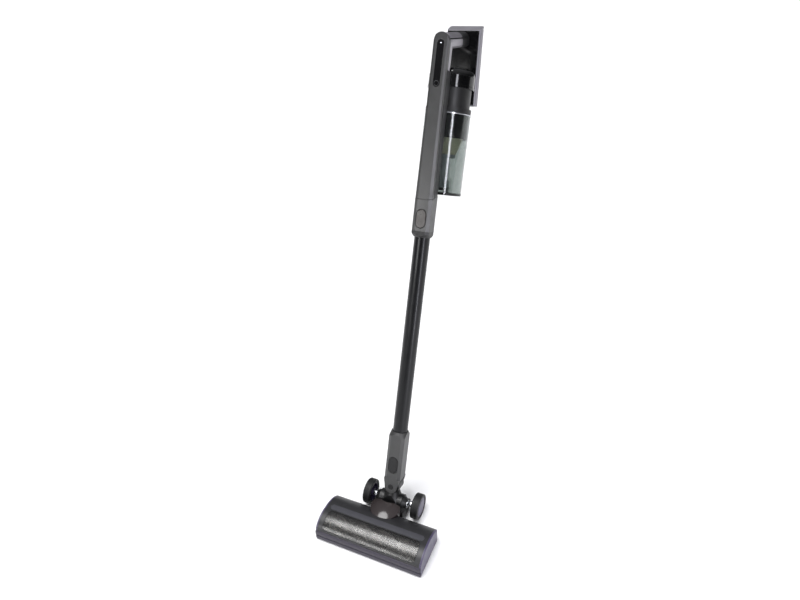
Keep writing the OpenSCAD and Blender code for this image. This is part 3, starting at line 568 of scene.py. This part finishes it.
# Brown grey ABS from a polished mould: dark, with one small sharp highlight.
dome_abs = finish("polished_abs_umber", "#2d2727", 0.16, grain_mm=5, grain=0.01)
softened(black_nylon, "neck_yoke", 1.4)
softened(black_nylon, "neck_drum", 1.0)
softened(bright_steel, "pivot_pins", 0.5)
softened(black_nylon, "swivel_pins", 0.4)
dressed(dome_abs, "neck_cover")
dressed(tyre_tpe, "neck_hose")


# ---- Wheels ----------------------------------------------------------------
# Two wheels turn on steel axles that are pressed into the yoke's cheeks. Each is an ABS
# hub, grey violet as a painted reflection of bluish light, with a black rubber tyre moulded over it.
softened(painted_violet_reflection_abs, "hub_left", 0.8)
softened(painted_violet_reflection_abs, "hub_right", 0.8)
softened(bright_steel, "wheel_axles", 0.4)
dressed(tyre_tpe, "tyre_left", "tyre_right")


# ---- Lower connector -------------------------------------------------------
# A lacquered ABS socket for the wand's foot, on the swivel. A sprung nylon button in a
# well on its front frees the wand; a black rubber ring in the gap round it is painted shade.
sideways = Vector((1, 0, 0))
stick_up = Vector(joint["fan_spin"]["axis"]).normalized()
stick_back = stick_up.cross(sideways)
stick = Matrix.Translation(joint["neck_pitch"]["pos_m"]) @ Matrix(
    (sideways, stick_back, stick_up)).transposed().to_4x4()
to_stick = stick.inverted()


def stick_box(node):
    """Lowest and highest corners of a CAD node in the stick's own frame, in millimetres."""
    points = [(to_stick @ v.co) / MM for v in shown[node].data.vertices]
    return Vector(map(min, *points)), Vector(map(max, *points))


def slab_on_front(rim, y0, y1):
    """An outline in x and height, drawn out between two depths of the stick's front."""
    return solid_of([[stick @ (Vector((x, y, w)) * MM) for x, w in rim] for y in (y0, y1)])


def pill(half_w, half_h, middle, grow):
    """Upright outline with round ends, centred at a height, and grown all round."""
    r, run = half_w + grow, half_h - half_w
    ends = [(1, a) for a in range(0, 181, 15)] + [(-1, a) for a in range(180, 361, 15)]
    return [(r * math.cos(math.radians(a)), middle + s * run + r * math.sin(math.radians(a)))
            for s, a in ends]


def gap_shade_ring(button, body):
    """A black rubber ring in the gap round a button's well, as painted shade in that gap."""
    low, high = stick_box(button)
    shape = (high.x - low.x) / 2, (high.z - low.z) / 2, (low.z + high.z) / 2
    face = low.y + 0.55
    shade_ring = cut(slab_on_front(pill(*shape, 1.5), face, face + 0.8),
                 slab_on_front(pill(*shape, 0.25), face - 1, face + 3))
    rolled(piece(button + "_gap_shade", shade_ring, body, tyre_tpe, "rubber"), 0.2, 2)


# ABS sprayed with grey metallic lacquer: broad, soft highlights with a fine sparkle.
gunmetal_lacquer = finish("metallic_lacquer_gunmetal", "#4b4b4b", 0.38, metallic=0.5,
                          grain_mm=0.4, grain=0.02)
softened(gunmetal_lacquer, "lower_connector", 1.0)
softened(black_nylon, "lower_button", 0.7)
dressed(zinc_steel, "lower_spring")
# Black rubber ring round the button's well: painted shade in the gap.
gap_shade_ring("lower_button", "lower_unit")


# ---- Wand ------------------------------------------------------------------
# A drawn aluminium tube, dyed black and sealed, with a nylon duct inside its back for
# the wires to the head's motor.

# Anodised aluminium: a tight grain and one dim, long highlight.
anodised_tube = finish("anodised_aluminium_black", "#0c0d10", 0.34, metallic=0.45,
                       grain_mm=0.5, grain=0.01, rub=0.1, coat=0.15)
dressed(anodised_tube, "wand_tube")
dressed(black_nylon, "wire_duct")


# ---- Upper connector -------------------------------------------------------
# The wand's head: a lacquered ABS socket over a black nylon collar, with a brown black
# button on a spring that frees the hand unit.

# ABS with a polished face: brown black, and darker than the lacquer round it.
umber_key = finish("polished_abs_brown", "#2b2523", 0.3)
softened(gunmetal_lacquer, "upper_connector", 1.0)
softened(black_nylon, "upper_collar", 0.6)
softened(umber_key, "upper_button", 0.7)
dressed(zinc_steel, "upper_spring")
# Black rubber ring round the button's well: painted shade in the gap.
gap_shade_ring("upper_button", "wand")


# ---- Hand unit column ------------------------------------------------------
# A lacquered front shell and a black ABS rear shell are joined over a dark
# seam strip, with the inlet pipe and the air duct between them.

# ABS with more black in it than the head's: a flat, dark satin.
soot_abs = finish("moulded_abs_soot", "#19191b", 0.42)
softened(gunmetal_lacquer, "body_front", 1.2)
softened(soot_abs, "body_rear", 1.0)
dressed(black_nylon, "body_seam", "inlet_pipe", "air_duct")


# ---- Display ---------------------------------------------------------------
# A gloss black lens is bonded into the column's front. A white light shows through it
# near its top, and a thin printed ring marks the power button near its foot.
def oval(middle, half_wide, half_high, steps=40):
    """Outline of an ellipse round a middle in x and height."""
    turns = [2 * math.pi * i / steps for i in range(steps)]
    return [(middle[0] + half_wide * math.cos(a), middle[1] + half_high * math.sin(a))
            for a in turns]


# ABS from a polished mould: a near mirror, black where it faces nothing bright.
gloss_black = finish("polished_abs_black", "#060607", 0.10, grain_mm=6, grain=0.01, drift=0.05,
                     rub=0.05)
softened(gloss_black, "display_lens", 0.3)
dressed(gloss_black, "power_button")

# A milky diffuser, moulded in white and lit from behind: a small even glow.
milky_diffuser = bpy.data.materials.new("white_led_diffuser")
milky_diffuser.use_nodes = True
tree = milky_diffuser.node_tree
glow = tree.nodes["Principled BSDF"]
milk = add(tree, "ShaderNodeTexNoise", Scale=per(1.5), Detail=1.0,
           Vector=add(tree, "ShaderNodeTexCoord").outputs["Object"])
diffuser = add(tree, "ShaderNodeMix", {"data_type": "RGBA"}, _0=milk.outputs["Fac"],
               _6=linear("#d9dee6"), _7=linear("#f3f6fa"))
tree.links.new(diffuser.outputs[2], glow.inputs["Base Color"])
glow.inputs["Roughness"].default_value = 0.5
glow.inputs["Emission Color"].default_value = linear("#f1f5ff")
glow.inputs["Emission Strength"].default_value = 0.8

lens_low, lens_high = stick_box("display_lens")
lens_front = lens_low.y
light_at, light_half_w, light_half_h = (0.6, lens_high.z - 6.5), 1.7, 0.8
mark = slab_on_front(oval(light_at, light_half_w, light_half_h), lens_front - 0.12, lens_front + 0.6)
rolled(piece("display_led", mark, "hand_unit", milky_diffuser, "dark_gloss"), 0.05, 2)

# Screen-printed ink: a thin grey line that stands out faintly from the gloss.
grey_ink = finish("printed_grey_ink", "#3a3b3e", 0.5)
ring_at, ring_out, ring_in = (0, lens_low.z + 7), 5.2, 4.6
outside, inside = (slab_on_front(oval(ring_at, r, r), lens_front - 0.1, lens_front + 0.5)
                   for r in (ring_out, ring_in))
rolled(piece("button_ring", cut(outside, inside), "hand_unit", grey_ink, "dark_gloss"), 0.04, 2)


# ---- Grip bar --------------------------------------------------------------
# A black nylon core carries the load from the column to the back plate, between two
# silver ABS shells that are clipped over it.

# ABS sprayed silver grey: pale and metallic, under a thin clear coat.
silver_lacquer = finish("metallic_lacquer_silver", "#8d8a90", 0.33, metallic=0.55,
                        grain_mm=0.4, grain=0.02, coat=0.2)
softened(silver_lacquer, "grip_upper", 0.5)
softened(silver_lacquer, "grip_lower", 0.5)
softened(black_nylon, "grip_core", 1.0)


# ---- Fan -------------------------------------------------------------------
# A gloss black housing with a vented cover over the exhaust filter. A steel-cased motor
# inside turns an impeller that is milled from aluminium.

# Milled aluminium: pale and bright, with fine tool marks.
milled_aluminium = finish("milled_aluminium", "#cdd0d4", 0.26, metallic=1.0, grain_mm=0.3)
# Pleated polyester fleece: cream, matt and fuzzy.
filter_fleece = finish("pleated_polyester_fleece", "#e9e5cc", 0.95, grain_mm=0.5, grain=0.25,
                       rub=0.0, Sheen_Weight=0.4)
softened(gloss_black, "fan_housing", 1.0)
dressed(gloss_black, "fan_cover")
dressed(bright_steel, "fan_motor")
dressed(milled_aluminium, "impeller")
dressed(filter_fleece, "exhaust_filter")


# ---- Cyclone and its filter ------------------------------------------------
# Cream polyester fleece, folded into pleats and bonded to a rim, hangs from the black
# nylon cyclone body. A ribbed polypropylene tube stands under it, with a dark cap and a
# dark foot ring pushed on.
unit_y = (to_stick @ Vector(joint["fan_spin"]["pos_m"])).y / MM


def turned(profile, steps=96, ripple=0.0):
    """A ring round the unit's axis from a closed outline of (radius, height)."""
    rings = []
    for k in range(steps):
        a = 2 * math.pi * k / steps
        swell = ripple * (k % 2)
        rings.append([stick @ (Vector((
            (r - swell) * math.cos(a), unit_y + (r - swell) * math.sin(a), w)) * MM)
            for r, w in profile])
    return solid_of(rings + rings[:1], closed_ends=False)


def welded(mesh):
    """Joins the first and last ring of a turned mesh, and points its faces outwards."""
    work = bmesh.new()
    work.from_mesh(mesh)
    bmesh.ops.remove_doubles(work, verts=work.verts, dist=0.001 * MM)
    bmesh.ops.recalc_face_normals(work, faces=work.faces)
    work.to_mesh(mesh)
    work.free()
    return mesh


# Polypropylene: a waxy, pale grey.
grey_pp = finish("moulded_pp_grey", "#b2b5b8", 0.45, ior=1.49, grain=0.05)
dressed(black_nylon, "cyclone_body")
dressed(filter_fleece, "fine_filter")
dressed(grey_pp, "cyclone_tube")
cone_low, cone_high = stick_box("fine_filter")
foot, brim = cone_low.z, cone_high.z
foot_r, brim_r, cone_t, cone_tall, fold_depth = 26, 38, 3.5, 32, 1.7
fleece = [(foot_r, foot), (brim_r, foot + cone_tall), (brim_r, brim), (brim_r - cone_t, brim),
          (brim_r - cone_t, foot + cone_tall + 1), (foot_r - cone_t, foot + 2), (4, foot + 2),
          (4, foot)]
pleated = turned(fleece, steps=120, ripple=fold_depth)
piece("pleated_cone", welded(pleated), "hand_unit", filter_fleece, "filter", "fine_filter")

tube_low, tube_high = stick_box("cyclone_tube")
cap_foot, ring_foot, bore_r = tube_high.z, tube_low.z, 4
cap = [(bore_r, cap_foot), (22, cap_foot), (24.5, cap_foot + 1.5), (24.5, cap_foot + 3),
       (22, cap_foot + 4.2), (bore_r, cap_foot + 4.2)]
rolled(piece("inner_tube_cap", welded(turned(cap, 64)), "hand_unit", black_nylon, "black"), 0.3)
foot_ring = [(15, ring_foot - 2), (21, ring_foot - 2), (21, ring_foot + 1.5),
             (18.2, ring_foot + 3), (16.1, ring_foot + 3), (16.1, ring_foot - 1)]
rolled(piece("inner_tube_foot", welded(turned(foot_ring, 64)), "hand_unit", black_nylon,
             "black"), 0.3)


# ---- Bin -------------------------------------------------------------------
# A clear cup, moulded in styrene acrylonitrile, with a bright ring at its rim. A soft
# black seal under the cyclone closes its top, and a hinged nylon lid with a latch closes
# its foot.

# Clear styrene acrylonitrile with a smoke tint: glassy, with long upright highlights.
clear_bin = clear("clear_san_smoke", "#bac1be", 0.09, 1.57)
dressed(clear_bin, "dust_bin")
softened(black_nylon, "bin_lid", 0.6)
dressed(black_nylon, "lid_latch")
softened(silver_lacquer, "bin_button", 0.6)
bin_high = stick_box("dust_bin")[1]
bin_r, rim_w = bin_high.x, bin_high.z
trim = [(bin_r - 1.2, rim_w - 2.6), (bin_r + 0.35, rim_w - 2.6), (bin_r + 0.5, rim_w - 2.2),
        (bin_r + 0.5, rim_w - 0.7), (bin_r + 0.2, rim_w - 0.3), (bin_r - 1.2, rim_w - 0.3)]
seal = [(bin_r - 2.1, rim_w + 0.05), (bin_r - 0.6, rim_w + 0.05), (bin_r - 0.6, rim_w + 0.6),
        (bin_r - 2.1, rim_w + 0.6)]
rolled(piece("bin_trim_ring", welded(turned(trim)), "bin", bright_steel, "steel"), 0.15, 2)
rolled(piece("bin_seal", welded(turned(seal)), "hand_unit", tyre_tpe, "rubber"), 0.1, 2)


# ---- Back plate and battery ------------------------------------------------
# A gloss black plate behind the fan carries the battery, which slides onto it: a pale
# lacquered ABS case round seven steel cells in blue film.

# ABS sprayed pale silver, nearly matt.
pale_lacquer = finish("metallic_lacquer_pale", "#87858b", 0.42, metallic=0.4, grain_mm=0.4,
                      grain=0.02)
# Shrunk PVC film over steel cells: blue and glossy.
cell_film = finish("shrunk_pvc_blue", "#2f5f8c", 0.25, coat=0.4)
softened(gloss_black, "back_plate", 1.0)
softened(pale_lacquer, "battery_case", 1.2)
dressed(cell_film, "battery_cells")
